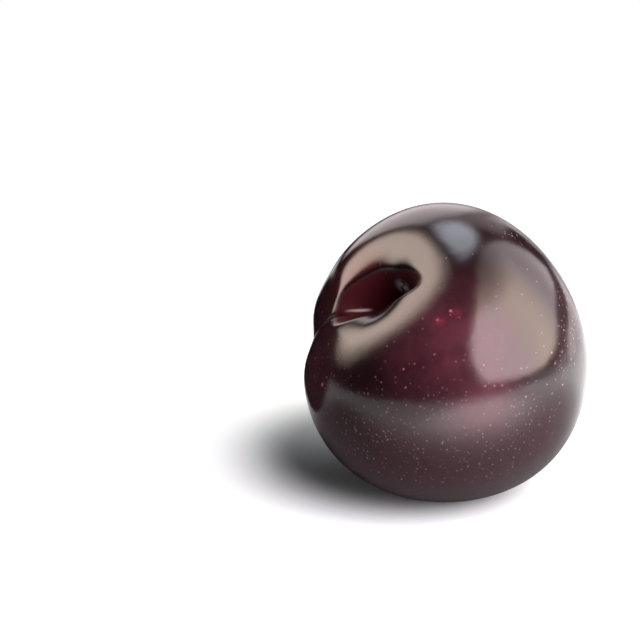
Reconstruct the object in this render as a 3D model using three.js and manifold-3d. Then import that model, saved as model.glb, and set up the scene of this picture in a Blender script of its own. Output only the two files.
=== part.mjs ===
// A ripe dark plum, one solid, lying on its side with the stem cavity turned up and to the left.
// Millimetres, +Z up. The fruit stands on a small flat spot at z = 0 under its weight.
//
// The skin is one closed surface of two angles in the fruit's own frame:
//   theta runs from the stem end (0) to the tip (pi), phi runs round the stem axis from the suture (0);
//   u points to the suture side, v to the cheek on its left, w along the stem axis.

import * as THREE from 'three';
import { mergeVertices } from 'three/addons/utils/BufferGeometryUtils.js';
import Module from 'manifold-3d';

// ---- body -------------------------------------------------------------------------------------------
const HALF_WIDTH_SUTURE = 30.0; // half width through the suture, mm
const HALF_WIDTH_CHEEK = 33.1; // half width across the two cheeks, mm
const HALF_HEIGHT = 30.8; // mean half height along the stem axis, mm
const TIP_STRETCH = 2.1; // the tip half is longer and the stem half shorter by this, mm
const SHOULDER = 0.12; // how much wider the stem end is than the tip end
const LEAN_SUTURE = 0.018; // lean of the stem end to the suture side
const LEAN_CHEEK = -0.011; // lean of the stem end to the left cheek

// one side pressed flatter while the fruit grew, beside the suture
const PRESSED_SHARE = 0.091;
const PRESSED_AT = -0.37; // rad round from the suture
const PRESSED_SPREAD = 3.4;
const TWO_LOBES = 0.006; // slight unevenness round the girth
const THREE_LOBES = 0.03;

// ---- suture: a wide shallow valley with a narrow crease near the stem -------------------------------
const VALLEY_DEPTH = 1.75;
const VALLEY_HALF_WIDTH = 5.5;
const VALLEY_AT = 0.9; // theta where the valley is deepest, rad
const VALLEY_REACH = 1.1;
const CREASE_DEPTH = 1.0;
const CREASE_HALF_WIDTH = 0.5;
const CREASE_ROUNDING = 0.2; // how round the bottom of the crease is, as a share of its half width
const CREASE_AT = 0.42;
const CREASE_REACH = 0.3;
const LINE_DEPTH = 0.16; // the fine line that goes on to the tip
const LINE_HALF_WIDTH = 0.5;
const SUTURE_BEND = -0.26; // how the suture swings sideways on its way down
const SUTURE_BEND_START = 0.45;
const SUTURE_BEND_END = 1.6;

// ---- stem cavity: a wide funnel with a steep pit in it ----------------------------------------------
const FUNNEL_DEPTH = 3.9;
const FUNNEL_RADIUS = 8.0;
const FUNNEL_OFFSET_CHEEK = -1.0;
const PIT_DEPTH = 10.0;
const PIT_STEEPNESS = 3.0; // 2 is a plain bell, more gives steeper walls
const PIT_RADIUS_BACK = 7.1; // away from the suture
const PIT_RADIUS_SUTURE = 7.4; // towards the suture
const PIT_TEARDROP = 0.6;
const PIT_RADIUS_NEAR = 2.9; // across, towards the left cheek
const PIT_RADIUS_FAR = 3.9; // across, towards the right cheek
const PIT_BLEND = 1.0; // how softly the near side turns into the far one, mm
const PIT_SQUARE = 2.6; // outline of the near side: 2 is an oval, more is squarer
const PIT_OFFSET_SUTURE = 0.5;
const PIT_OFFSET_CHEEK = -0.4;
const PIT_BOW_BACK = 0.34; // how the pit bends to the left cheek at its back end
const PIT_BOW_SUTURE = 0.18; // and at its suture end
const PIT_SLANT = 0.5; // how its far wall leans to the suture

// the shoulder drawn in round the pit on the left cheek, and a shallow hollow beside the suture
const LIP_SLOPE = 0.16;
const LIP_RADIUS = 12.2;
const LIP_EDGE = 0.35; // how sharply the slope sets in, mm
const LIP_AT = 1.31; // rad round from the suture
const LIP_SPREAD = 2.5;
const FLANK_DEPTH = 1.0;
const FLANK_AT_SUTURE = 13.5;
const FLANK_AT_CHEEK = -8.0;
const FLANK_RADIUS_SUTURE = 3.5;
const FLANK_RADIUS_CHEEK = 7.0;

// ---- tip --------------------------------------------------------------------------------------------
const TIP_SINK = 0.9; // small dimple where the flower was
const TIP_SINK_RADIUS = 3.0;

// ---- how it lies ------------------------------------------------------------------------------------
const STEM_AZIMUTH = THREE.MathUtils.degToRad(-54.8); // stem end turned left from the front (-Y)
const STEM_ELEVATION = THREE.MathUtils.degToRad(44.2); // and raised
const FLAT_CUT = 0.45; // how much of the round underside the flat spot takes off, mm
const CUT_BLOCK = 200; // side of the block under z = 0 that takes it off, mm

// ---- mesh and finish --------------------------------------------------------------------------------
const ROWS = 60; // from stem end to tip, closer together round the cavity
const COLUMNS = 94; // round the stem axis, closer together at the suture
const ROW_EVEN_SHARE = 0.45;
const COLUMN_EVEN_SHARE = 0.55;
const SKIN_COLOUR = 0x3a1620;
const SKIN_ROUGHNESS = 0.2;

/** A smooth swelling round phi = 0 that repeats every turn: exp(spread (cos phi - 1)). */
function swelling(phi, spread) {
  return Math.exp(spread * (Math.cos(phi) - 1));
}

/** A bell: exp(-x^2). */
function bell(x) {
  return Math.exp(-x * x);
}

/** The body without cavity or suture: an oval wider at the stem end, one side pressed flatter. */
function bodyPoint(theta, phi) {
  const sine = Math.sin(theta);
  const cosine = Math.cos(theta);
  const girth = 1
    - PRESSED_SHARE * swelling(phi - PRESSED_AT, PRESSED_SPREAD) * sine ** 2
    + (TWO_LOBES * Math.sin(2 * phi) + THREE_LOBES * Math.sin(3 * phi)) * sine ** 2;
  const radius = sine * (1 + SHOULDER * cosine) * girth;
  const w = HALF_HEIGHT * cosine - TIP_STRETCH * cosine ** 2;
  const u = HALF_WIDTH_SUTURE * radius * Math.cos(phi) + LEAN_SUTURE * w;
  const v = HALF_WIDTH_CHEEK * radius * Math.sin(phi) + LEAN_CHEEK * w;
  return new THREE.Vector3(u, v, w);
}

/** Depth of the suture at (theta, phi): valley + crease + fine line, by distance across the suture. */
function sutureDepth(theta, phi) {
  const swing = SUTURE_BEND * (theta - SUTURE_BEND_START) * Math.exp(-((theta / SUTURE_BEND_END) ** 4));
  const turn = phi - swing;
  const across = HALF_WIDTH_CHEEK * Math.sin(theta) * (Math.cos(turn) > 0 ? Math.abs(Math.sin(turn)) : 1);
  const valley = VALLEY_DEPTH * bell((theta - VALLEY_AT) / VALLEY_REACH) * bell(across / VALLEY_HALF_WIDTH);
  const bank = Math.hypot(across / CREASE_HALF_WIDTH, CREASE_ROUNDING) - CREASE_ROUNDING;
  const crease = CREASE_DEPTH * bell((theta - CREASE_AT) / CREASE_REACH) * Math.exp(-bank);
  const line = LINE_DEPTH * Math.sin(theta) ** 2 * bell(across / LINE_HALF_WIDTH);
  return valley + crease + line;
}

/** Depth of the pit at (u, v): a steep bell whose oval footprint is bent, slanted and uneven. */
function pitDepth(u, v) {
  const along = u - PIT_OFFSET_SUTURE;
  const bow = along < 0 ? PIT_BOW_BACK : PIT_BOW_SUTURE;
  const dv = v - PIT_OFFSET_CHEEK - bow * (Math.hypot(along, 1) - 1);
  const du = along + PIT_SLANT * Math.min(dv, 0);
  const towardsSuture = ((1 + Math.cos(Math.atan2(dv, du))) / 2) ** PIT_TEARDROP;
  const radiusAlong = PIT_RADIUS_BACK + (PIT_RADIUS_SUTURE - PIT_RADIUS_BACK) * towardsSuture;
  const towardsNear = (1 + Math.tanh(dv / PIT_BLEND)) / 2;
  const radiusAcross = PIT_RADIUS_FAR + (PIT_RADIUS_NEAR - PIT_RADIUS_FAR) * towardsNear;
  const power = 2 + (PIT_SQUARE - 2) * towardsNear;
  const reach = (Math.abs(du / radiusAlong) ** power + Math.abs(dv / radiusAcross) ** power) ** (1 / power);
  return PIT_DEPTH * Math.exp(-(reach ** PIT_STEEPNESS));
}

/** How far the skin lies below the body at (u, v) at the stem end: pit, funnel, lip slope and flank. */
function cavityDepth(u, v) {
  const funnel = FUNNEL_DEPTH * bell(Math.hypot(u, v - FUNNEL_OFFSET_CHEEK) / FUNNEL_RADIUS);
  const inside = Math.log1p(Math.exp((LIP_RADIUS - Math.hypot(u, v)) / LIP_EDGE)) * LIP_EDGE;
  const lip = LIP_SLOPE * inside * swelling(Math.atan2(v, u) - LIP_AT, LIP_SPREAD);
  const flank = FLANK_DEPTH
    * bell((u - FLANK_AT_SUTURE) / FLANK_RADIUS_SUTURE) * bell((v - FLANK_AT_CHEEK) / FLANK_RADIUS_CHEEK);
  return pitDepth(u, v) + funnel + lip + flank;
}

/** A point of the finished skin in the fruit's own frame. */
function skinPoint(theta, phi) {
  const point = bodyPoint(theta, phi);
  point.multiplyScalar(1 - sutureDepth(theta, phi) / point.length());
  if (theta < Math.PI / 2) {
    point.z -= cavityDepth(point.x, point.y);
  } else {
    point.z += TIP_SINK * bell(Math.hypot(point.x, point.y) / TIP_SINK_RADIUS);
  }
  return point;
}

/** The turn that lays the fruit down: w to the stem direction, u to the left along the table side. */
function layingTurn() {
  const w = new THREE.Vector3(
    Math.sin(STEM_AZIMUTH) * Math.cos(STEM_ELEVATION),
    -Math.cos(STEM_AZIMUTH) * Math.cos(STEM_ELEVATION),
    Math.sin(STEM_ELEVATION),
  );
  const left = new THREE.Vector3(-1, 0, 0);
  const u = left.clone().addScaledVector(w, -left.dot(w)).normalize();
  const v = new THREE.Vector3().crossVectors(w, u);
  return new THREE.Matrix4().makeBasis(u, v, w);
}

/** Closed mesh of the skin: a grid of rows and columns with one vertex at each end of the stem axis. */
function skinMesh() {
  const places = [];
  for (let row = 1; row < ROWS; row += 1) {
    const t = row / ROWS;
    const theta = Math.PI * (ROW_EVEN_SHARE * t + (1 - ROW_EVEN_SHARE) * t * t);
    for (let column = 0; column < COLUMNS; column += 1) {
      const s = 2 * column / COLUMNS - 1;
      const phi = Math.PI * (COLUMN_EVEN_SHARE * s + (1 - COLUMN_EVEN_SHARE) * s ** 3);
      places.push(skinPoint(theta, phi));
    }
  }
  const stemEnd = places.push(skinPoint(0, 0)) - 1;
  const tipEnd = places.push(skinPoint(Math.PI, 0)) - 1;
  const triangles = [];
  for (let column = 0; column < COLUMNS; column += 1) {
    const next = (column + 1) % COLUMNS;
    triangles.push(stemEnd, column, next);
    for (let row = 0; row < ROWS - 2; row += 1) {
      const a = row * COLUMNS + column;
      const b = row * COLUMNS + next;
      triangles.push(a, a + COLUMNS, b + COLUMNS, a, b + COLUMNS, b);
    }
    triangles.push(tipEnd, (ROWS - 2) * COLUMNS + next, (ROWS - 2) * COLUMNS + column);
  }
  const turn = layingTurn();
  places.forEach((place) => place.applyMatrix4(turn));
  return { places, triangles };
}

/** Moves the fruit so that the flat spot comes to z = 0 and the middle of its plan to x = y = 0. */
function settle(places) {
  const box = new THREE.Box3().setFromPoints(places);
  const middle = box.getCenter(new THREE.Vector3());
  const shift = new THREE.Vector3(-middle.x, -middle.y, -box.min.z - FLAT_CUT);
  places.forEach((place) => place.add(shift));
}

const wasm = await Module();
wasm.setup();

/** A solid with these corner coordinates and triangles, which share their corners. */
function solidOf(corners, triangles) {
  return new wasm.Manifold(new wasm.Mesh({
    numProp: 3,
    vertProperties: new Float32Array(corners),
    triVerts: new Uint32Array(triangles),
  }));
}

/** The block that fills the space under z = 0. */
function blockUnderneath() {
  const box = new THREE.BoxGeometry(CUT_BLOCK, CUT_BLOCK, CUT_BLOCK);
  box.translate(0, 0, -CUT_BLOCK / 2);
  box.deleteAttribute('normal');
  box.deleteAttribute('uv');
  const merged = mergeVertices(box);
  return solidOf(merged.getAttribute('position').array, merged.getIndex().array);
}

const { places, triangles } = skinMesh();
settle(places);
const uncut = solidOf(places.flatMap((place) => place.toArray()), triangles);
const fruit = uncut.subtract(blockUnderneath()).getMesh(); // leaves the flat spot

const skin = new THREE.BufferGeometry();
skin.setAttribute('position', new THREE.BufferAttribute(new Float32Array(fruit.vertProperties), 3));
skin.setIndex(new THREE.BufferAttribute(new Uint32Array(fruit.triVerts), 1));
skin.computeVertexNormals();

const plum = new THREE.Mesh(skin, new THREE.MeshStandardMaterial({
  color: SKIN_COLOUR,
  roughness: SKIN_ROUGHNESS,
  metalness: 0,
}));
plum.name = 'plum';

const group = new THREE.Group();
group.add(plum);

export default group;
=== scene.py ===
import math

import bpy
import numpy as np
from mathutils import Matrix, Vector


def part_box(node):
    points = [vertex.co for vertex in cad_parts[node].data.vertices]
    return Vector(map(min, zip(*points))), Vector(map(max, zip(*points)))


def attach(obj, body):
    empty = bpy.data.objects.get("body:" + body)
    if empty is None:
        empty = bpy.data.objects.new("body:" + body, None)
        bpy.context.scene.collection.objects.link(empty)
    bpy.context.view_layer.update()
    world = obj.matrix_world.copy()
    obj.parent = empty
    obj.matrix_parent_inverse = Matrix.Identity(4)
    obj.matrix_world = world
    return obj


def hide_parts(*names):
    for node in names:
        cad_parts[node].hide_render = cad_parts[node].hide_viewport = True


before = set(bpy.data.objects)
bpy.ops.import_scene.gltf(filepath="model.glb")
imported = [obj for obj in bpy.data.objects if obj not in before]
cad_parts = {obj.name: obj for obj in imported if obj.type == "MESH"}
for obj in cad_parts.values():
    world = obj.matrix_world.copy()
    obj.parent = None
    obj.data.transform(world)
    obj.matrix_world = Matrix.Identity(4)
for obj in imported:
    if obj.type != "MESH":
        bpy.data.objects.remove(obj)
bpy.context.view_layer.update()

# ---------------------------------------------------------------------------------------------------------------
# The plum: a whole dark dessert plum, a juicy stone fruit grown as one piece. Its skin is taut, waxy and
# almost black over red flesh, drawn in round the stem cavity and along the suture, the seam where the flower's
# carpel closed. It lies on its side on a small spot that its own weight has pressed flat.

MM = 0.001

# the body, in mm from the fruit's centre
HALF_WIDTH_SUTURE = 30.0        # to the skin on the suture side
HALF_WIDTH_CHEEK = 33.1         # to the skin on the cheeks
HALF_HEIGHT = 30.8              # along the stem axis, the mean of both ends
TIP_STRETCH = 2.1               # the tip half is longer and the stem half shorter by this
SHOULDER = 0.12                 # how much wider the stem end is than the tip end
LEAN_SUTURE = 0.018             # lean of the stem end to the suture side
LEAN_CHEEK = -0.011             # lean of the stem end to a cheek
PRESSED_SHARE = 0.091           # one side pressed flatter while the fruit grew, beside the suture
PRESSED_AT = -0.37              # radians round from the suture
PRESSED_SPREAD = 3.4
TWO_LOBES = 0.006               # slight unevenness round the girth
THREE_LOBES = 0.03

# the suture: a wide shallow valley, a sharp crease where it leaves the cavity, and a fine line all the way down
VALLEY_DEPTH = 1.75
VALLEY_HALF_WIDTH = 5.5
VALLEY_AT = 0.9                 # radians down from the stem end
VALLEY_REACH = 1.1
CREASE_DEPTH = 1.0
CREASE_HALF_WIDTH = 0.5
CREASE_ROUNDING = 0.2           # how round its bottom is, as a share of its half width
CREASE_AT = 0.42
CREASE_REACH = 0.3
LINE_DEPTH = 0.16
LINE_HALF_WIDTH = 0.5
SUTURE_BEND = -0.26             # how the suture swings sideways on its way down
SUTURE_BEND_START = 0.45
SUTURE_BEND_END = 1.6

# the stem cavity: a wide funnel with a steep pit in it
FUNNEL_DEPTH = 3.9
FUNNEL_RADIUS = 8.0
FUNNEL_OFFSET_CHEEK = -1.0
PIT_DEPTH = 10.0
PIT_STEEPNESS = 3.0             # 2 is a plain bell, more gives steeper walls
PIT_RADIUS_BACK = 7.1           # away from the suture
PIT_RADIUS_SUTURE = 7.4         # towards the suture
PIT_TEARDROP = 0.6
PIT_RADIUS_NEAR = 2.9           # across, towards the left cheek
PIT_RADIUS_FAR = 3.9            # across, towards the right cheek
PIT_BLEND = 1.0                 # how softly the near side turns into the far one
PIT_SQUARE = 2.6                # outline of the near side: 2 is an oval, more is squarer
PIT_OFFSET_SUTURE = 0.5
PIT_OFFSET_CHEEK = -0.4
PIT_BOW_BACK = 0.34             # how the pit bends to the left cheek at its back end
PIT_BOW_SUTURE = 0.18           # and at its suture end
PIT_SLANT = 0.5                 # how its far wall leans to the suture
SCAR_RADIUS = 1.5               # where the stalk came away, on the floor of the pit
SCAR_DEPTH = 0.35

# the shoulder drawn in round the pit on the left cheek, a shallow hollow beside the suture, and the tip's dimple
LIP_SLOPE = 0.16
LIP_RADIUS = 12.2
LIP_EDGE = 0.35                 # how sharply the slope sets in
LIP_AT = 1.31                   # radians round from the suture
LIP_SPREAD = 2.5
FLANK_DEPTH = 1.0
FLANK_AT_SUTURE = 13.5
FLANK_AT_CHEEK = -8.0
FLANK_RADIUS_SUTURE = 3.5
FLANK_RADIUS_CHEEK = 7.0
TIP_SINK = 0.9
TIP_SINK_RADIUS = 3.0

# how it lies, and its mesh
STEM_AZIMUTH = math.radians(-54.8)      # stem end turned left from the front, -Y
STEM_ELEVATION = math.radians(44.2)     # and raised
FLAT_CUT = 0.45                 # how much of the round underside the flat spot takes off
ROWS = 256                      # from stem end to tip, closer together round the cavity
COLUMNS = 344                   # round the stem axis, closer together at the suture
ROW_EVEN_SHARE = 0.45
COLUMN_EVEN_SHARE = 0.55
AT_POLE = 1e-6                  # theta of the stem end, a hair off the axis


def bell(x):
    """The bell curve: e to the minus x squared."""
    return np.exp(-x * x)


def swelling(angle, spread):
    """A smooth swelling that repeats every turn: e to the spread times the angle's cosine less one."""
    return np.exp(spread * (np.cos(angle) - 1))


def body_point(theta, phi):
    """The body without cavity or suture. Its girth is the sine of theta, wider at the stem end, swollen by two
    and by three low waves round it, less a soft press beside the suture; its height is the cosine of theta, less
    a part of its square. u is to the suture, v to a cheek and w up the stem."""
    sine, cosine = np.sin(theta), np.cos(theta)
    waves = TWO_LOBES * np.sin(2 * phi) + THREE_LOBES * np.sin(3 * phi)
    press = PRESSED_SHARE * swelling(phi - PRESSED_AT, PRESSED_SPREAD)
    radius = sine * (1 + SHOULDER * cosine) * (1 + sine**2 * (waves - press))
    w = HALF_HEIGHT * cosine - TIP_STRETCH * cosine**2
    u = HALF_WIDTH_SUTURE * radius * np.cos(phi) + LEAN_SUTURE * w
    v = HALF_WIDTH_CHEEK * radius * np.sin(phi) + LEAN_CHEEK * w
    return u, v, w


def suture_depth(theta, phi):
    """How far the skin sinks along the suture. The valley is a bell of theta times a bell of the distance
    across the suture, the crease a bell of theta times e to the minus that distance, rounded at its bottom, and
    the line the square of theta's sine times a narrow bell of the distance."""
    swing = SUTURE_BEND * (theta - SUTURE_BEND_START) * np.exp(-((theta / SUTURE_BEND_END) ** 4))
    turn = phi - swing
    across = HALF_WIDTH_CHEEK * np.sin(theta) * np.where(np.cos(turn) > 0, np.abs(np.sin(turn)), 1.0)
    valley = VALLEY_DEPTH * bell((theta - VALLEY_AT) / VALLEY_REACH) * bell(across / VALLEY_HALF_WIDTH)
    bank = np.hypot(across / CREASE_HALF_WIDTH, CREASE_ROUNDING) - CREASE_ROUNDING
    crease = CREASE_DEPTH * bell((theta - CREASE_AT) / CREASE_REACH) * np.exp(-bank)
    line = LINE_DEPTH * np.sin(theta) ** 2 * bell(across / LINE_HALF_WIDTH)
    return valley + crease + line


def pit_plan(u, v):
    """Where (u, v) lies in the pit's own plan, along it and across it: the pit's bow, a curve that starts as a
    parabola and ends straight, and the slant of its far wall are taken out."""
    du = u - PIT_OFFSET_SUTURE
    bow = np.where(du < 0, PIT_BOW_BACK, PIT_BOW_SUTURE)
    dv = v - PIT_OFFSET_CHEEK - bow * (np.hypot(du, 1) - 1)
    return du + PIT_SLANT * np.minimum(dv, 0), dv


def pit_share(along, across):
    """1 in the middle of the pit and 0 outside it: a steep bell of the distance from its middle, measured in
    radii that change smoothly from side to side, and by a power that makes its near side squarer."""
    towards_suture = ((1 + np.cos(np.arctan2(across, along))) / 2) ** PIT_TEARDROP
    towards_near = (1 + np.tanh(across / PIT_BLEND)) / 2
    radius_along = PIT_RADIUS_BACK + (PIT_RADIUS_SUTURE - PIT_RADIUS_BACK) * towards_suture
    radius_across = PIT_RADIUS_FAR + (PIT_RADIUS_NEAR - PIT_RADIUS_FAR) * towards_near
    power = 2 + (PIT_SQUARE - 2) * towards_near
    reach = (np.abs(along / radius_along) ** power + np.abs(across / radius_across) ** power) ** (1 / power)
    return np.exp(-(reach**PIT_STEEPNESS))


def skin_point(theta, phi):
    """A point of the skin, and how deep in the pit it is, from 0 to 1. theta is 0 at the stem end and pi at the
    tip, phi is 0 on the suture. The body sinks towards its centre along the suture; down the stem axis it sinks
    by the pit, its scar, the funnel, the lip's slope and the flank's hollow, and at the tip by a small dimple."""
    u, v, w = body_point(theta, phi)
    keep = 1 - suture_depth(theta, phi) / np.sqrt(u * u + v * v + w * w)
    u, v, w = u * keep, v * keep, w * keep
    from_axis = np.hypot(u, v)
    along, across = pit_plan(u, v)
    hollow = np.where(theta < np.pi / 2, pit_share(along, across), 0.0)
    scar = np.exp(-((np.hypot(along, across) / SCAR_RADIUS) ** 4))
    funnel = bell(np.hypot(u, v - FUNNEL_OFFSET_CHEEK) / FUNNEL_RADIUS)
    inside = np.logaddexp(0, (LIP_RADIUS - from_axis) / LIP_EDGE) * LIP_EDGE
    lip = LIP_SLOPE * inside * swelling(np.arctan2(v, u) - LIP_AT, LIP_SPREAD)
    flank = bell((u - FLANK_AT_SUTURE) / FLANK_RADIUS_SUTURE) * bell((v - FLANK_AT_CHEEK) / FLANK_RADIUS_CHEEK)
    sunk = PIT_DEPTH * hollow + SCAR_DEPTH * scar + FUNNEL_DEPTH * funnel + lip + FLANK_DEPTH * flank
    w = w - np.where(theta < np.pi / 2, sunk, -TIP_SINK * bell(from_axis / TIP_SINK_RADIUS))
    return np.stack([u, v, w], -1), hollow


def lay_on_side(points):
    """Turns the fruit's own axes into the shared frame: the stem axis points to STEM_AZIMUTH and
    STEM_ELEVATION, and the suture side is as near to -X as that allows."""
    stem = np.array([math.sin(STEM_AZIMUTH) * math.cos(STEM_ELEVATION),
                     -math.cos(STEM_AZIMUTH) * math.cos(STEM_ELEVATION), math.sin(STEM_ELEVATION)])
    suture = np.array([-1.0, 0.0, 0.0]) - stem * -stem[0]
    suture /= np.linalg.norm(suture)
    cheek = np.cross(stem, suture)
    return points @ np.stack([suture, cheek, stem])


def closed_surface(name, ring_points, top_point, end_point):
    """A mesh of quads between the rings, closed by a fan of triangles round one point at either end."""
    rings, around = ring_points.shape[:2]
    vertices = np.vstack([ring_points.reshape(-1, 3), top_point, end_point])
    ring = np.arange(rings - 1)[:, None] * around
    here = np.arange(around)[None]
    there = (here + 1) % around
    quads = np.stack([ring + here, ring + around + here, ring + around + there, ring + there], -1).reshape(-1, 4)
    top, end, last = rings * around, rings * around + 1, (rings - 1) * around
    here, there = here[0], there[0]
    fans = np.vstack([np.stack([np.full(around, top), here, there], -1),
                      np.stack([np.full(around, end), last + there, last + here], -1)])
    mesh = bpy.data.meshes.new(name)
    mesh.from_pydata(vertices.tolist(), [], quads.tolist() + fans.tolist())
    mesh.polygons.foreach_set("use_smooth", np.ones(len(mesh.polygons), bool))
    mesh.update()
    return mesh


def show(name, mesh):
    """Puts a mesh into the scene as an object at the origin."""
    shown = bpy.data.objects.new(name, mesh)
    bpy.context.scene.collection.objects.link(shown)
    return shown


t = np.arange(1, ROWS) / ROWS
s = 2 * np.arange(COLUMNS) / COLUMNS - 1
theta_grid, phi_grid = np.meshgrid(np.pi * (ROW_EVEN_SHARE * t + (1 - ROW_EVEN_SHARE) * t**2),
                                   np.pi * (COLUMN_EVEN_SHARE * s + (1 - COLUMN_EVEN_SHARE) * s**3), indexing="ij")
skin, hollow = skin_point(theta_grid, phi_grid)
stem_end, stem_hollow = skin_point(np.array([AT_POLE]), np.array([0.0]))
tip_end, tip_hollow = skin_point(np.array([np.pi]), np.array([0.0]))
plum_mesh = closed_surface("plum_whole", lay_on_side(skin), lay_on_side(stem_end), lay_on_side(tip_end))

# it is set down on the table, centred, flattened where it rests, and kept inside the solid's box
place = np.zeros(len(plum_mesh.vertices) * 3)
plum_mesh.vertices.foreach_get("co", place)
place = place.reshape(-1, 3)
low, high = place.min(0), place.max(0)
place -= [(low[0] + high[0]) / 2, (low[1] + high[1]) / 2, low[2] + FLAT_CUT]
place[:, 2] = np.maximum(place[:, 2], 0.0)
place *= MM
cad_low, cad_high = (np.array(corner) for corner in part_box("plum"))
low, high = place.min(0), place.max(0)
place *= np.minimum((cad_high - cad_low) / (high - low), 1.0).min()
plum_mesh.vertices.foreach_set("co", place.ravel())
plum_mesh.update()

depth = plum_mesh.attributes.new("hollow", "FLOAT", "POINT")
depth.data.foreach_set("value", np.concatenate([hollow.ravel(), stem_hollow, tip_hollow]).astype(np.float32))
plum = show("plum_whole", plum_mesh)


class Finish:
    """One material, put together node by node. A number or colour sets a socket, and another node's output is
    linked to it. A socket is named, or given by its place as _0, _1 and so on."""

    def __init__(self, name):
        self.material = bpy.data.materials.new(name)
        self.material.use_nodes = True
        self.tree = self.material.node_tree
        self.tree.nodes.clear()

    def add(self, kind, settings=None, **inputs):
        """A new node of a kind, with its settings and inputs."""
        node = self.tree.nodes.new("ShaderNode" + kind)
        for key, value in (settings or {}).items():
            setattr(node, key, value)
        for key, value in inputs.items():
            key = int(key[1:]) if key[0] == "_" else key.replace("_", " ")
            if isinstance(value, bpy.types.NodeSocket):
                self.tree.links.new(value, node.inputs[key])
            else:
                node.inputs[key].default_value = value
        return node

    def maths(self, operation, a, b=0.0):
        """One step of arithmetic on two values."""
        return self.add("Math", {"operation": operation}, _0=a, _1=b).outputs[0]

    def times(self, first, *others):
        """The product of all the values."""
        for other in others:
            first = self.maths("MULTIPLY", first, other)
        return first

    def most(self, first, *others):
        """The greatest of all the values."""
        for other in others:
            first = self.maths("MAXIMUM", first, other)
        return first

    def scaled_and_added(self, a, scale, b):
        """a times scale, plus b."""
        return self.add("Math", {"operation": "MULTIPLY_ADD"}, _0=a, _1=scale, _2=b).outputs[0]

    def ramp(self, value, low, high, to_low=0.0, to_high=1.0):
        """A smooth step from to_low, where the value is low, to to_high, where it is high."""
        node = self.add("MapRange", {"interpolation_type": "SMOOTHSTEP"}, Value=value,
                        From_Min=low, From_Max=high, To_Min=to_low, To_Max=to_high)
        return node.outputs[0]

    def mix(self, share, a, b):
        """Colour a where the share is 0, colour b where it is 1."""
        return self.add("Mix", {"data_type": "RGBA"}, _0=share, _6=a, _7=b).outputs[2]

    def distance(self, a, b):
        """How far apart two points are."""
        return self.add("VectorMath", {"operation": "DISTANCE"}, _0=a, _1=b).outputs["Value"]

    def noise(self, where, scale, detail, roughness):
        """Soft noise with so many swells a metre."""
        return self.add("TexNoise", Vector=where, Scale=scale, Detail=detail, Roughness=roughness).outputs[0]


def near(finish, where, middle, reach):
    """1 at a point of the skin, falling smoothly to 0 at the reach round it, both in metres."""
    return finish.ramp(finish.distance(where, middle), reach, 0.0)


def streak(finish, where, start, end, half_width):
    """1 on the line between two points of the skin, falling to 0 at half_width beside it, and over the outer
    two thirds of each half of its length. A point's foot on the line is its dot product with the line."""
    start, end = np.array(start), np.array(end)
    half_length = np.linalg.norm(end - start) / 2
    line = (end - start) / (2 * half_length)
    offset = finish.add("VectorMath", {"operation": "SUBTRACT"}, _0=where, _1=(start + end) / 2).outputs[0]
    run = finish.add("VectorMath", {"operation": "DOT_PRODUCT"}, _0=offset, _1=line).outputs["Value"]
    foot = finish.add("VectorMath", {"operation": "SCALE"}, _0=line, Scale=run).outputs[0]
    return finish.times(finish.ramp(finish.distance(offset, foot), half_width, 0.0),
                        finish.ramp(finish.maths("ABSOLUTE", run), half_length, half_length / 3))


def cells(finish, where, number, edge, core):
    """Round dots, one in each cell of a scattered grid of so many cells a metre. A dot is 1 out to its core and
    0 past its edge, both as shares of a cell. Also gives two even draws from 0 to 1, the same over each cell."""
    cell = finish.add("TexVoronoi", {"feature": "F1"}, Vector=where, Scale=number, Randomness=1.0)
    draw = finish.add("SeparateColor", Color=cell.outputs["Color"])
    return finish.ramp(cell.outputs["Distance"], edge, core), draw.outputs[0], draw.outputs[2]


# the skin's unevenness, from coarse to fine: swells a metre, octaves, and how rough they are
CLOUDS = 55.0, 3.0, 0.5
WAVES = 140.0, 2.0, 0.5
MOTTLE = 190.0, 5.0, 0.6
FLECKS = 900.0, 3.0, 0.6

# the skin's ground: black purple above, browner lower down; heights are above the table. A mark's place is its
# middle and its reach, in metres. A ramp is from and to, then the least and the most, where they aren't 0 and 1.
BLACK_PURPLE = (0.007, 0.0022, 0.0036, 1)
BROWN_PURPLE = (0.015, 0.0035, 0.006, 1)
BROWNER_FROM, BROWNER_TO = 0.036, 0.022

# where the red flesh shows through: on the near cheek, less low down on it, on the left beside the suture, and
# most on the shoulder behind the cavity
DEEP_RED = (0.045, 0.013, 0.020, 1)
BLUSH_FRONT = (-0.0035, -0.028, 0.043), 0.0198
BLUSH_LEFT = (-0.030, -0.008, 0.033), 0.020
BLUSH_LOW = (0.004, -0.031, 0.0325), 0.0135
BLUSH_LOW_SHARE = 0.9
BLUSH_MOTTLE = 0.25, 0.7, 0.6, 1.15
SHOULDER_RED = (0.085, 0.016, 0.022, 1)
SHOULDER_AT = (-0.021, -0.001, 0.050), 0.013
SHOULDER_MOTTLE = 0.3, 0.7, 0.5, 1.2
SHOULDER_EDGE = 0.02            # depth in the pit at which the shoulder's red ends

# the pit's own red, and two painted highlights in it, pale colour where glints would shine: a thin streak at its
# suture end and a flecked patch by the middle
PIT_RED = (0.030, 0.002, 0.004, 1)
PIT_RED_FROM, PIT_RED_TO = 0.008, 0.07
PIT_PAINTED_HIGHLIGHT = (0.36, 0.31, 0.34, 1)
PAINTED_HIGHLIGHT_STREAK = (-0.0218, -0.0052, 0.0419), (-0.0152, -0.0036, 0.0418), 0.0005
PAINTED_HIGHLIGHT_PATCH = (-0.0093, -0.0066, 0.0473), 0.0030
PAINTED_HIGHLIGHT_FLECK = 0.35, 0.60

# the thin grey bloom of wax high on the right side
BLOOM_GREY = (0.034, 0.028, 0.031, 1)
BLOOM_RIGHT_OF = 0.018, 0.022
BLOOM_ABOVE = 0.030, 0.038
BLOOM_SHARE = 0.36

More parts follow.
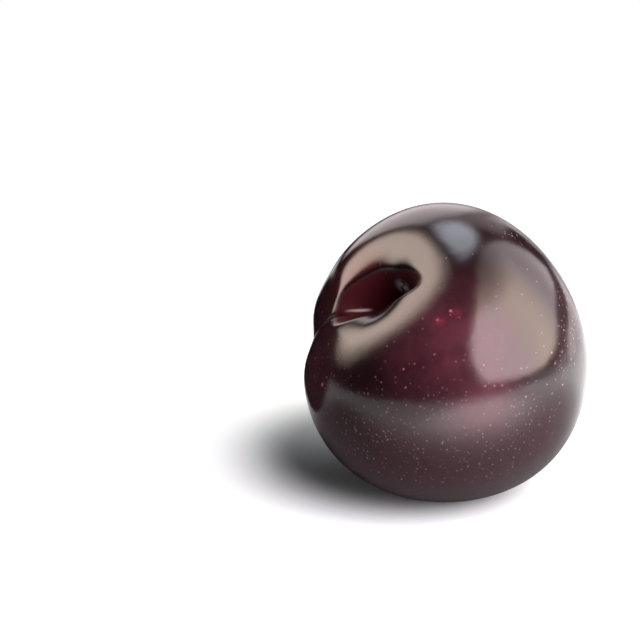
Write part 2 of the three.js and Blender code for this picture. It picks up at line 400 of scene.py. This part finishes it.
# pores: fewer towards the top, none in the pit, and reddest across the middle of the fruit's height
PORE_CELLS, PORE_EDGE, PORE_CORE = 560.0, 0.20, 0.04
PORES_KEPT = 0.052, 0.030, 0.10, 0.85
PORE_STRENGTH = 0.25, 1.0
PORE_SHARE = 0.8
PORE_HOLLOW_EDGE = 0.01, 0.002
PORE_BROWN, PORE_BROWN_TO = (0.085, 0.060, 0.058, 1), (0.027, 0.036)
PORE_RED, PORE_RED_TO = (0.26, 0.10, 0.10, 1), (0.040, 0.050)
PORE_DARK = (0.12, 0.06, 0.06, 1)
PORE_PALE, PORE_PALE_BELOW = (0.13, 0.098, 0.094, 1), (0.020, 0.006)

# grit: pale grains in the bloom and on a patch near the top
GRIT_PALE = (0.36, 0.31, 0.32, 1)
GRIT_CELLS, GRIT_EDGE, GRIT_CORE = 1000.0, 0.26, 0.05
GRIT_PATCH = (0.0125, -0.004, 0.058), 0.008
GRIT_SHARE = 0.42

# dust: very fine brown dots, mostly on the lower half
DUST_BROWN = (0.080, 0.060, 0.059, 1)
DUST_CELLS, DUST_EDGE, DUST_CORE = 1150.0, 0.34, 0.08
DUST_KEPT = 0.038, 0.028, 0.05, 0.6
DUST_STRENGTH = 0.2, 0.9

# two small scuffs high on the near cheek, and three healed specks
SCUFF_RED = (0.13, 0.014, 0.028, 1)
SCUFFS = (((-0.0048, -0.0250, 0.0464), (-0.0026, -0.0254, 0.0449), 0.0014),
          ((-0.0019, -0.0244, 0.0478), (0.0008, -0.0250, 0.0462), 0.0013))
SCUFF_FLECK = 0.40, 0.65, 0.15, 1.0
SPECK_RED = (0.30, 0.12, 0.12, 1)
SPECKS = (((-0.0042, -0.0251, 0.0460), 0.0005), ((-0.0016, -0.0244, 0.0476), 0.0005),
          ((-0.0261, -0.0161, 0.0297), 0.0006))

# the wax's gloss: uneven in soft clouds, dull in the pit, and over a skin that is never quite flat
CLOUDS_TO_ROUGHNESS = 0.3, 0.7, 0.14, 0.20
PIT_ROUGHER = 0.5
SKIN_IOR = 1.47
SPECULAR, PIT_LESS_SPECULAR = 0.5, -0.42
WAVE_HEIGHT = 7.0               # of the long waves, against the fine flecks' height of 1
BUMP_STRENGTH, BUMP_DEPTH = 0.05, 0.0002

look = Finish("plum_skin")
where = look.add("TexCoord").outputs["Object"]
right_and_up = look.add("SeparateXYZ", Vector=where)
to_right, height = right_and_up.outputs["X"], right_and_up.outputs["Z"]
in_hollow = look.add("Attribute", {"attribute_name": "hollow"}).outputs["Fac"]
mottle, clouds = look.noise(where, *MOTTLE), look.noise(where, *CLOUDS)
fleck, wave = look.noise(where, *FLECKS), look.noise(where, *WAVES)

colour = look.mix(look.ramp(height, BROWNER_FROM, BROWNER_TO), BLACK_PURPLE, BROWN_PURPLE)
blush = look.most(near(look, where, *BLUSH_FRONT), near(look, where, *BLUSH_LEFT),
                  look.times(near(look, where, *BLUSH_LOW), BLUSH_LOW_SHARE))
colour = look.mix(look.times(blush, look.ramp(mottle, *BLUSH_MOTTLE)), colour, DEEP_RED)
shoulder = look.times(near(look, where, *SHOULDER_AT), look.ramp(mottle, *SHOULDER_MOTTLE),
                      look.ramp(in_hollow, SHOULDER_EDGE, 0.0))
colour = look.mix(shoulder, colour, SHOULDER_RED)
in_pit = look.ramp(in_hollow, PIT_RED_FROM, PIT_RED_TO)
colour = look.mix(in_pit, colour, PIT_RED)
bloom = look.times(look.ramp(to_right, *BLOOM_RIGHT_OF), look.ramp(height, *BLOOM_ABOVE))
colour = look.mix(look.times(bloom, BLOOM_SHARE), colour, BLOOM_GREY)
# painted highlights: pale colour in the pit in place of two glints, a flecked patch and a thin streak
patch = look.times(near(look, where, *PAINTED_HIGHLIGHT_PATCH), look.ramp(fleck, *PAINTED_HIGHLIGHT_FLECK))
colour = look.mix(look.most(streak(look, where, *PAINTED_HIGHLIGHT_STREAK), patch), colour, PIT_PAINTED_HIGHLIGHT)

pore, draw, strength = cells(look, where, PORE_CELLS, PORE_EDGE, PORE_CORE)
pore = look.times(pore, look.ramp(in_hollow, *PORE_HOLLOW_EDGE),
                  look.maths("LESS_THAN", draw, look.ramp(height, *PORES_KEPT)),
                  look.ramp(strength, 0, 1, *PORE_STRENGTH), PORE_SHARE)
pore_colour = look.mix(look.ramp(height, *PORE_BROWN_TO), PORE_BROWN, PORE_RED)
pore_colour = look.mix(look.ramp(height, *PORE_RED_TO), pore_colour, PORE_DARK)
pore_colour = look.mix(look.ramp(height, *PORE_PALE_BELOW), pore_colour, PORE_PALE)
colour = look.mix(pore, colour, pore_colour)
grit = cells(look, where, GRIT_CELLS, GRIT_EDGE, GRIT_CORE)[0]
grit = look.times(grit, look.most(bloom, near(look, where, *GRIT_PATCH)), GRIT_SHARE)
colour = look.mix(grit, colour, GRIT_PALE)
dust, draw, strength = cells(look, where, DUST_CELLS, DUST_EDGE, DUST_CORE)
dust = look.times(dust, look.maths("LESS_THAN", draw, look.ramp(height, *DUST_KEPT)),
                  look.ramp(strength, 0, 1, *DUST_STRENGTH))
colour = look.mix(dust, colour, DUST_BROWN)

scuffs = look.most(*(streak(look, where, *line) for line in SCUFFS))
colour = look.mix(look.times(scuffs, look.ramp(fleck, *SCUFF_FLECK)), colour, SCUFF_RED)
specks = look.most(*(near(look, where, *spot) for spot in SPECKS))
colour = look.mix(specks, colour, SPECK_RED)

rough = look.maths("ADD", look.ramp(clouds, *CLOUDS_TO_ROUGHNESS), look.times(in_pit, PIT_ROUGHER))
gloss = look.scaled_and_added(in_pit, PIT_LESS_SPECULAR, SPECULAR)
relief = look.scaled_and_added(wave, WAVE_HEIGHT, fleck)
bump = look.add("Bump", Strength=BUMP_STRENGTH, Distance=BUMP_DEPTH, Height=relief)
shader = look.add("BsdfPrincipled", Base_Color=colour, Roughness=rough, IOR=SKIN_IOR,
                  Specular_IOR_Level=gloss, Normal=bump.outputs[0])
look.add("OutputMaterial", Surface=shader.outputs[0])
plum_mesh.materials.append(look.material)
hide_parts("plum")
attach(plum, "root")

# ---------------------------------------------------------------------------------------------------------------
# The stand: a plain white table that the plum lies on. Its glow is painted light, for it is no lamp: it glows
# from a little way off the fruit, more at its far end and most in a rosy painted pool of light before the fruit,
# so it stays white, and the place round the fruit where it doesn't glow is a painted shadow that stays soft.

TABLE_LEFT, TABLE_RIGHT, TABLE_FRONT, TABLE_BACK = -0.50, 0.90, -0.36, 0.90
TABLE_WHITE, TABLE_ROUGHNESS = (0.575, 0.69, 0.735, 1), 0.6
PAINTED_SHADOW_ROUND = (-0.003, 0.0225, 0)                            # middle of the painted shadow, the place without glow
PAINTED_SHADOW_EDGE = 0.0285, 0.0505, 0.022, 0.62
FAR_RAMP = 0.12, 0.40, 0.0, 0.40
# a painted pool of light on the table before the fruit, rosy, that the fruit's lower half mirrors
PAINTED_POOL_AT, PAINTED_POOL_CORE, PAINTED_POOL_RADIUS = (0.036, -0.112, 0), 0.015, 0.092
PAINTED_POOL_GLOW, PAINTED_POOL_TINT = 3.4, (1, 0.80, 0.81, 1)

floor_mesh = bpy.data.meshes.new("floor")
floor_mesh.from_pydata([(TABLE_LEFT, TABLE_FRONT, 0), (TABLE_RIGHT, TABLE_FRONT, 0),
                        (TABLE_RIGHT, TABLE_BACK, 0), (TABLE_LEFT, TABLE_BACK, 0)], [], [(0, 1, 2, 3)])
floor = show("floor", floor_mesh)
table = Finish("white_table_painted_glow")
spot = table.add("TexCoord").outputs["Object"]
# the painted light: least in the painted shadow round the fruit, more further off and at the far end, most in the
# painted pool
away, from_painted_pool = table.distance(spot, PAINTED_SHADOW_ROUND), table.distance(spot, PAINTED_POOL_AT)
glow = table.maths("ADD", table.ramp(away, *PAINTED_SHADOW_EDGE), table.ramp(away, *FAR_RAMP))
glow = table.maths("ADD", glow, table.ramp(from_painted_pool, PAINTED_POOL_CORE, PAINTED_POOL_RADIUS, PAINTED_POOL_GLOW, 0.0))
tint = table.mix(table.ramp(from_painted_pool, PAINTED_POOL_CORE, PAINTED_POOL_RADIUS, 1.0, 0.0), (1, 1, 1, 1), PAINTED_POOL_TINT)
shader = table.add("BsdfPrincipled", Base_Color=TABLE_WHITE, Roughness=TABLE_ROUGHNESS, Specular_IOR_Level=0.0,
                   Emission_Color=tint, Emission_Strength=glow)
table.add("OutputMaterial", Surface=shader.outputs[0])
floor_mesh.materials.append(table.material)

# ---------------------------------------------------------------------------------------------------------------
# The studio light: a large diffuser close on the right and one on the left, a cooler window above and behind,
# and three pale cards: one at the back, one low at the right, one at the left back. Each is a glowing curved
# sheet that the camera doesn't see, and all but the right diffuser show only in the fruit's gloss.

LIGHT_CENTRE = np.array([0.0, 0.0, 0.031])
RIM_STEPS = (1.0, 0.95, 0.9, 0.82, 0.72, 0.6, 0.4, 0.2)
RIM_GLOW = 0.1                  # share of its light that a sheet gives at its rim
BEIGE, ROSE, PEARL, SKY = (1, .81, .69, 1), (1, .78, .82, 1), (1, .87, .88, 1), (.84, .89, 1, 1)
NEAR_HUE_RAMP, FAR_HUE_RAMP = (-0.7, -0.2), (-0.05, 0.3)


def bearings(*pairs):
    """Directions from compass turns and heights in degrees: turn 0 is towards the camera, 90 to the right."""
    turn, rise = np.radians(np.array(pairs, float)).T
    return np.stack([np.sin(turn) * np.cos(rise), -np.cos(turn) * np.cos(rise), np.sin(rise)], -1)


def diffuser(name, outline, distance, strength, soft_rim, colours, far=(0.0, 1.0, 1.0), high=(0.8, 1.0, 1.0),
             only_mirrored=True):
    """A curved sheet round the fruit: its outline is given as bearings seen from the fruit's middle, and drawn
    in by steps to its own middle. It glows inwards only, and fades over soft_rim of the way from the rim.
    colours is one colour, or three that follow each other from the camera side to the far side. far and high
    are (from, to, share): how the light falls to a share of itself towards the far side, and towards the top."""
    rim = bearings(*outline)
    middle = rim.mean(0)
    rings = np.stack([middle + (rim - middle) * step for step in RIM_STEPS])
    points = np.vstack([rings.reshape(-1, 3), middle])
    points = points / np.linalg.norm(points, axis=1, keepdims=True) * distance
    count, last = len(rim), (len(RIM_STEPS) - 1) * len(rim)
    ring, here = np.meshgrid(np.arange(len(RIM_STEPS) - 1) * count, np.arange(count), indexing="ij")
    there = (here + 1) % count
    quads = np.stack([ring + here, ring + there, ring + count + there, ring + count + here], -1).reshape(-1, 4)
    fan = [(last + k, last + (k + 1) % count, len(points) - 1) for k in range(count)]
    mesh = bpy.data.meshes.new(name)
    mesh.from_pydata(points.tolist(), [], quads.tolist() + fan)
    inward = mesh.attributes.new("inward", "FLOAT", "POINT")
    inward.data.foreach_set("value", np.append(np.repeat(1 - np.array(RIM_STEPS), count), 1.0).astype(np.float32))
    mesh.update()
    sheet = show(name, mesh)
    sheet.location = LIGHT_CENTRE

    cloth = Finish(name)
    toward = cloth.add("VectorMath", {"operation": "SCALE"}, _0=cloth.add("TexCoord").outputs["Object"],
                       Scale=1 / distance)
    toward = cloth.add("SeparateXYZ", Vector=toward.outputs[0])
    to_far, upwards = toward.outputs["Y"], toward.outputs["Z"]
    from_rim = cloth.add("Attribute", {"attribute_name": "inward"}).outputs["Fac"]
    share = cloth.times(cloth.ramp(from_rim, 0.0, soft_rim, RIM_GLOW, 1.0),
                        cloth.ramp(to_far, far[0], far[1], 1.0, far[2]),
                        cloth.ramp(upwards, high[0], high[1], 1.0, high[2]))
    tint = colours[0]
    if len(colours) == 3:
        tint = cloth.mix(cloth.ramp(to_far, *NEAR_HUE_RAMP), colours[0], colours[1])
        tint = cloth.mix(cloth.ramp(to_far, *FAR_HUE_RAMP), tint, colours[2])
    lit = cloth.add("Emission", Color=tint, Strength=cloth.times(share, strength))
    dark = cloth.add("BsdfDiffuse", Color=(0, 0, 0, 1))
    face = mesh.polygons[0]
    faces_in = np.array(face.normal) @ np.array(face.center) < 0
    behind = cloth.add("NewGeometry").outputs["Backfacing"]
    inner = cloth.maths("SUBTRACT", 1.0, behind) if faces_in else behind
    both = cloth.add("MixShader", _0=inner, _1=dark.outputs[0], _2=lit.outputs[0])
    cloth.add("OutputMaterial", Surface=both.outputs[0])
    mesh.materials.append(cloth.material)
    sheet.visible_camera = False
    sheet.visible_diffuse = not only_mirrored


diffuser("right_diffuser", [
    (15, 74), (6, 60), (4, 51), (2, 40), (3, 30), (7, 20), (12, 10), (17, 4), (30, 2), (45, 0), (60, -1),
    (72, 0), (84, 3), (92, 6), (104, 14), (112, 17), (122, 16), (132, 14), (139, 15), (140, 22), (141, 30),
    (143, 40), (146, 50), (149, 60), (150, 68), (130, 80), (90, 84), (45, 81)],
    distance=0.27, strength=9.2, soft_rim=0.14, colours=(ROSE, BEIGE, PEARL),
    far=(-0.25, 0.45, 0.28), high=(0.8, 1.0, 0.2), only_mirrored=False)
diffuser("left_diffuser", [
    (-97, 7), (-108, 10), (-124, 15), (-133, 18), (-140, 24), (-145, 31), (-150, 36), (-154, 43), (-155, 50),
    (-152, 58), (-146, 67), (-138, 75), (-92, 79), (-62, 73), (-59, 61), (-64, 50), (-70, 41), (-76, 30),
    (-82, 20), (-89, 10)],
    distance=0.45, strength=8.0, soft_rim=0.55, colours=(BEIGE,), far=(0.2, 0.6, 0.65))
diffuser("window_above", [
    (157, 52), (153, 60), (152, 70), (160, 79), (-170, 82), (-150, 77), (-150, 66), (-154, 56), (-165, 46),
    (180, 42), (166, 44)],
    distance=0.5, strength=4.8, soft_rim=0.5, colours=(SKY,))
diffuser("back_card", [
    (150, -2), (152, 3), (156, 8), (157, 14), (152, 24), (147, 34), (150, 44), (163, 48), (180, 50),
    (-165, 48), (-160, 40), (-165, 25), (-168, 10), (-170, -1), (180, -1), (165, -1)],
    distance=0.9, strength=1.1, soft_rim=0.3, colours=(PEARL,), high=(0.1, 0.5, 0.65))
diffuser("low_card", [
    (101, -11), (103, -4), (107, 2), (112, 5.5), (126, 6), (138, 6), (146, 9), (151, 8), (152, -11),
    (128, -11)],
    distance=0.26, strength=2.8, soft_rim=0.3, colours=(PEARL,), far=(0.35, 0.65, 0.55))
diffuser("side_card", [
    (-155, 5), (-154, 14), (-149, 24), (-151, 33), (-157, 41), (-164, 44), (-178, 42), (-190, 36), (-196, 22),
    (-196, 6), (-172, 2), (-160, 3)],
    distance=0.85, strength=1.9, soft_rim=0.3, colours=(PEARL,))

# ---------------------------------------------------------------------------------------------------------------
# The under shade: a dark soft-edged sheet just over the table, only ever mirrored, for what the fruit's own
# underside and its neighbours take from the light there.

UNDER_AT, UNDER_TURN, UNDER_STRETCH = (-0.032, -0.0115, 0.0), 0.10, 2.84
UNDER_HALF_LENGTH, UNDER_HALF_WIDTH, UNDER_HEIGHT = 0.20, 0.08, 0.0004
UNDER_CORE, UNDER_RADIUS, UNDER_DARK = 0.019, 0.070, 0.81

under_mesh = bpy.data.meshes.new("under_shade")
under_mesh.from_pydata([(x * UNDER_HALF_LENGTH, y * UNDER_HALF_WIDTH, UNDER_HEIGHT)
                        for x, y in ((-1, -1), (1, -1), (1, 1), (-1, 1))], [], [(0, 1, 2, 3)])
under = show("under_shade", under_mesh)
under.location, under.rotation_euler = UNDER_AT, (0, 0, UNDER_TURN)
shading = Finish("under_shade")
spot = shading.add("VectorMath", {"operation": "MULTIPLY"}, _0=shading.add("TexCoord").outputs["Object"],
                   _1=(1 / UNDER_STRETCH, 1, 1))
away = shading.add("VectorMath", {"operation": "LENGTH"}, _0=spot.outputs[0]).outputs["Value"]
share = shading.ramp(away, UNDER_CORE, UNDER_RADIUS, UNDER_DARK, 0.0)
black = shading.add("BsdfDiffuse", Color=(0, 0, 0, 1))
clear = shading.add("BsdfTransparent")
both = shading.add("MixShader", _0=share, _1=clear.outputs[0], _2=black.outputs[0])
shading.add("OutputMaterial", Surface=both.outputs[0])
under_mesh.materials.append(shading.material)
under.visible_camera = under.visible_shadow = under.visible_diffuse = False

# ---------------------------------------------------------------------------------------------------------------
# The dark shades: two dark balls where the next fruits of a group would lie. They are never seen and throw no
# shadow, and only darken what this fruit's left and far sides mirror.

SHADE_RADIUS, SHADE_RINGS, SHADE_SIDES = 0.031, 32, 64
SHADE_LEFT, SHADE_FAR = (-0.0645, 0.026, 0.031), (-0.012, 0.116, 0.031)
SHADE_COLOUR, SHADE_ROUGHNESS = (0.010, 0.001, 0.002, 1), 0.7

down, round_it = np.meshgrid(np.pi * np.arange(1, SHADE_RINGS) / SHADE_RINGS,
                             2 * np.pi * np.arange(SHADE_SIDES) / SHADE_SIDES, indexing="ij")
ball = np.stack([np.sin(down) * np.cos(round_it), np.sin(down) * np.sin(round_it), np.cos(down)], -1) * SHADE_RADIUS
pole = np.array([[0, 0, SHADE_RADIUS]])
paint = Finish("dark_shade")
shader = paint.add("BsdfPrincipled", Base_Color=SHADE_COLOUR, Roughness=SHADE_ROUGHNESS, Specular_IOR_Level=0.0)
paint.add("OutputMaterial", Surface=shader.outputs[0])
for name, middle in (("dark_shade_left", SHADE_LEFT), ("dark_shade_far", SHADE_FAR)):
    shade = show(name, closed_surface(name, ball + middle, middle + pole, middle - pole))
    shade.data.materials.append(paint.material)
    shade.visible_camera = shade.visible_shadow = shade.visible_diffuse = False

# ---------------------------------------------------------------------------------------------------------------
# The room: white to the camera, and almost black to the fruit, so that only the sheets and the table light it.
# The camera looks down on the fruit from the front, with a long lens.

ROOM_SEEN, ROOM_UNSEEN = (1, 1, 1, 1), (0.004, 0.003, 0.003, 1)
CAMERA_AT, CAMERA_DOWN = (-0.0266, -0.2636, 0.1161), math.radians(16.4)
SENSOR_MM, LENS_MM, CAMERA_NEAREST = 36.0, 73.125, 0.01

world = bpy.data.worlds.new("studio")
bpy.context.scene.world = world
world.use_nodes = True
tree = world.node_tree
tree.nodes.clear()
seen, unseen = tree.nodes.new("ShaderNodeBackground"), tree.nodes.new("ShaderNodeBackground")
seen.inputs["Color"].default_value = ROOM_SEEN
unseen.inputs["Color"].default_value = ROOM_UNSEEN
choose, ray = tree.nodes.new("ShaderNodeMixShader"), tree.nodes.new("ShaderNodeLightPath")
tree.links.new(ray.outputs["Is Camera Ray"], choose.inputs[0])
tree.links.new(unseen.outputs[0], choose.inputs[1])
tree.links.new(seen.outputs[0], choose.inputs[2])
tree.links.new(choose.outputs[0], tree.nodes.new("ShaderNodeOutputWorld").inputs[0])
bpy.context.scene.view_settings.view_transform = "Standard"

camera_data = bpy.data.cameras.new("camera")
camera_data.sensor_width, camera_data.lens, camera_data.clip_start = SENSOR_MM, LENS_MM, CAMERA_NEAREST
camera = bpy.data.objects.new("camera", camera_data)
bpy.context.scene.collection.objects.link(camera)
camera.location, camera.rotation_euler = CAMERA_AT, (math.pi / 2 - CAMERA_DOWN, 0, 0)
bpy.context.scene.camera = camera
